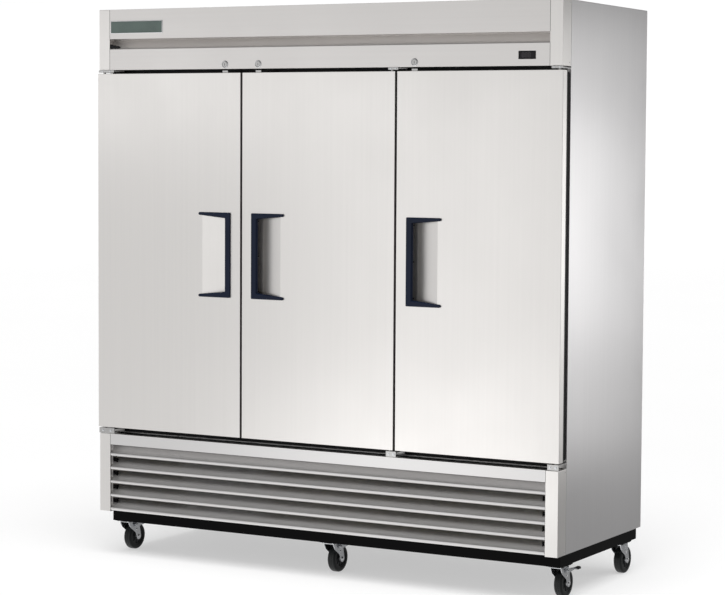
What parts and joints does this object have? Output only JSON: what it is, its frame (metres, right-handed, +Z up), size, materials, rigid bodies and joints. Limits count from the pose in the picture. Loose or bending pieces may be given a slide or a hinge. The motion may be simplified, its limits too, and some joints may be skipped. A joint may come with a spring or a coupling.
{
  "type": "reach-in refrigerator",
  "caption": "Upright stainless cabinet with hinged solid doors, recessed handles, a louvred machine grille below and swivel casters.",
  "frame": {"origin": "on the floor, under the middle of the bounding box", "axes": "+X to the right seen from the front, +Y from the doors to the back, +Z up"},
  "size_m": [1.992, 0.74, 2.118],
  "materials": {
    "stainless": "brushed",
    "galvanised": "mill finish",
    "aluminium": "satin",
    "zinc": "zinc plated",
    "black_steel": "semi-gloss black powder coat",
    "black_plastic": "fine moulded texture",
    "display": "smooth",
    "gasket": "matt",
    "tyre": "matt",
    "foam": "closed-cell foam",
    "shelf_coating": "dipped coating on wire"
  },
  "bodies": {
    "cabinet": {"side_panel_left": "stainless", "side_panel_right": "stainless", "back_panel": "galvanised", "top_panel": "galvanised", "inner_liner": "aluminium", "foam_insulation": "foam", "face_frame": "black_plastic", "header_panel": "stainless", "header_post_left": "stainless", "header_post_right": "stainless", "name_plate": "black_plastic", "temperature_display": "display", "grille_panel": "stainless", "grille_post_left": "stainless", "grille_post_right": "stainless", "base_frame": "black_steel", "compressor": "black_steel", "condenser_coil": "aluminium", "evaporator_housing": "aluminium", "hinge_bottom_left": "stainless", "hinge_bottom_middle": "stainless", "hinge_bottom_right": "stainless", "hinge_top_left": "stainless", "hinge_top_middle": "stainless", "hinge_top_right": "stainless", "shelf_stack_left": "shelf_coating", "shelf_stack_middle": "shelf_coating", "shelf_stack_right": "shelf_coating"},
    "door_left": {"door_skin_left": "stainless", "door_core_left": "foam", "door_gasket_left": "gasket", "door_handle_left": "black_plastic"},
    "door_middle": {"door_skin_middle": "stainless", "door_core_middle": "foam", "door_gasket_middle": "gasket", "door_handle_middle": "black_plastic"},
    "door_right": {"door_skin_right": "stainless", "door_core_right": "foam", "door_gasket_right": "gasket", "door_handle_right": "black_plastic"},
    "lock_left": {"lock_left": "zinc"},
    "lock_middle": {"lock_middle": "zinc"},
    "lock_right": {"lock_right": "zinc"},
    "caster_front_left": {"caster_fork_front_left": "zinc"},
    "wheel_front_left": {"caster_wheel_front_left": "tyre"},
    "brake_left": {"brake_pedal_left": "black_plastic"},
    "caster_front_middle": {"caster_fork_front_middle": "zinc"},
    "wheel_front_middle": {"caster_wheel_front_middle": "tyre"},
    "brake_middle": {"brake_pedal_middle": "black_plastic"},
    "caster_front_right": {"caster_fork_front_right": "zinc"},
    "wheel_front_right": {"caster_wheel_front_right": "tyre"},
    "brake_right": {"brake_pedal_right": "black_plastic"},
    "caster_rear_left": {"caster_fork_rear_left": "zinc"},
    "wheel_rear_left": {"caster_wheel_rear_left": "tyre"},
    "caster_rear_middle": {"caster_fork_rear_middle": "zinc"},
    "wheel_rear_middle": {"caster_wheel_rear_middle": "tyre"},
    "caster_rear_right": {"caster_fork_rear_right": "zinc"},
    "wheel_rear_right": {"caster_wheel_rear_right": "tyre"},
    "condenser_fan": {"condenser_fan": "black_plastic"},
    "evaporator_fan": {"evaporator_fan": "black_plastic"}
  },
  "joints": [
    {"name": "door_left_hinge", "type": "hinge", "parent": "cabinet", "child": "door_left", "pos_m": [-0.976, -0.348, 0.502], "axis": [0, 0, 1], "range_deg": [-110, 0], "stiffness_Nm_per_rad": 2},
    {"name": "door_middle_hinge", "type": "hinge", "parent": "cabinet", "child": "door_middle", "pos_m": [0.3078, -0.348, 0.502], "axis": [0, 0, 1], "range_deg": [0, 110], "stiffness_Nm_per_rad": 2},
    {"name": "door_right_hinge", "type": "hinge", "parent": "cabinet", "child": "door_right", "pos_m": [0.976, -0.348, 0.502], "axis": [0, 0, 1], "range_deg": [0, 110], "stiffness_Nm_per_rad": 2},
    {"name": "lock_left_turn", "type": "hinge", "parent": "cabinet", "child": "lock_left", "pos_m": [-0.409, -0.36, 1.9037], "axis": [0, 1, 0], "range_deg": [0, 90]},
    {"name": "lock_middle_turn", "type": "hinge", "parent": "cabinet", "child": "lock_middle", "pos_m": [-0.2607, -0.36, 1.9037], "axis": [0, 1, 0], "range_deg": [0, 90]},
    {"name": "lock_right_turn", "type": "hinge", "parent": "cabinet", "child": "lock_right", "pos_m": [0.405, -0.36, 1.9037], "axis": [0, 1, 0], "range_deg": [0, 90]},
    {"name": "caster_front_left_swivel", "type": "hinge", "parent": "cabinet", "child": "caster_front_left", "pos_m": [-0.943, -0.239, 0.1165], "axis": [0, 0, 1], "continuous": true},
    {"name": "wheel_front_left_roll", "type": "hinge", "parent": "caster_front_left", "child": "wheel_front_left", "pos_m": [-0.943, -0.204, 0.052], "axis": [1, 0, 0], "continuous": true},
    {"name": "brake_left_press", "type": "hinge", "parent": "caster_front_left", "child": "brake_left", "pos_m": [-0.943, -0.227, 0.1015], "axis": [-1, 0, 0], "range_deg": [0, 18]},
    {"name": "caster_front_middle_swivel", "type": "hinge", "parent": "cabinet", "child": "caster_front_middle", "pos_m": [0, -0.239, 0.1165], "axis": [0, 0, 1], "continuous": true},
    {"name": "wheel_front_middle_roll", "type": "hinge", "parent": "caster_front_middle", "child": "wheel_front_middle", "pos_m": [0, -0.204, 0.052], "axis": [1, 0, 0], "continuous": true},
    {"name": "brake_middle_press", "type": "hinge", "parent": "caster_front_middle", "child": "brake_middle", "pos_m": [0, -0.227, 0.1015], "axis": [-1, 0, 0], "range_deg": [0, 18]},
    {"name": "caster_front_right_swivel", "type": "hinge", "parent": "cabinet", "child": "caster_front_right", "pos_m": [0.943, -0.239, 0.1165], "axis": [0, 0, 1], "continuous": true},
    {"name": "wheel_front_right_roll", "type": "hinge", "parent": "caster_front_right", "child": "wheel_front_right", "pos_m": [0.943, -0.204, 0.052], "axis": [1, 0, 0], "continuous": true},
    {"name": "brake_right_press", "type": "hinge", "parent": "caster_front_right", "child": "brake_right", "pos_m": [0.943, -0.227, 0.1015], "axis": [-1, 0, 0], "range_deg": [0, 18]},
    {"name": "caster_rear_left_swivel", "type": "hinge", "parent": "cabinet", "child": "caster_rear_left", "pos_m": [-0.943, 0.28, 0.1165], "axis": [0, 0, 1], "continuous": true},
    {"name": "wheel_rear_left_roll", "type": "hinge", "parent": "caster_rear_left", "child": "wheel_rear_left", "pos_m": [-0.943, 0.315, 0.052], "axis": [1, 0, 0], "continuous": true},
    {"name": "caster_rear_middle_swivel", "type": "hinge", "parent": "cabinet", "child": "caster_rear_middle", "pos_m": [0, 0.28, 0.1165], "axis": [0, 0, 1], "continuous": true},
    {"name": "wheel_rear_middle_roll", "type": "hinge", "parent": "caster_rear_middle", "child": "wheel_rear_middle", "pos_m": [0, 0.315, 0.052], "axis": [1, 0, 0], "continuous": true},
    {"name": "caster_rear_right_swivel", "type": "hinge", "parent": "cabinet", "child": "caster_rear_right", "pos_m": [0.943, 0.28, 0.1165], "axis": [0, 0, 1], "continuous": true},
    {"name": "wheel_rear_right_roll", "type": "hinge", "parent": "caster_rear_right", "child": "wheel_rear_right", "pos_m": [0.943, 0.315, 0.052], "axis": [1, 0, 0], "continuous": true},
    {"name": "condenser_fan_spin", "type": "hinge", "parent": "cabinet", "child": "condenser_fan", "pos_m": [-0.5, -0.16, 0.308], "axis": [0, 1, 0], "continuous": true},
    {"name": "evaporator_fan_spin", "type": "hinge", "parent": "cabinet", "child": "evaporator_fan", "pos_m": [0, 0.08, 1.895], "axis": [0, 0, 1], "continuous": true}
  ]
}
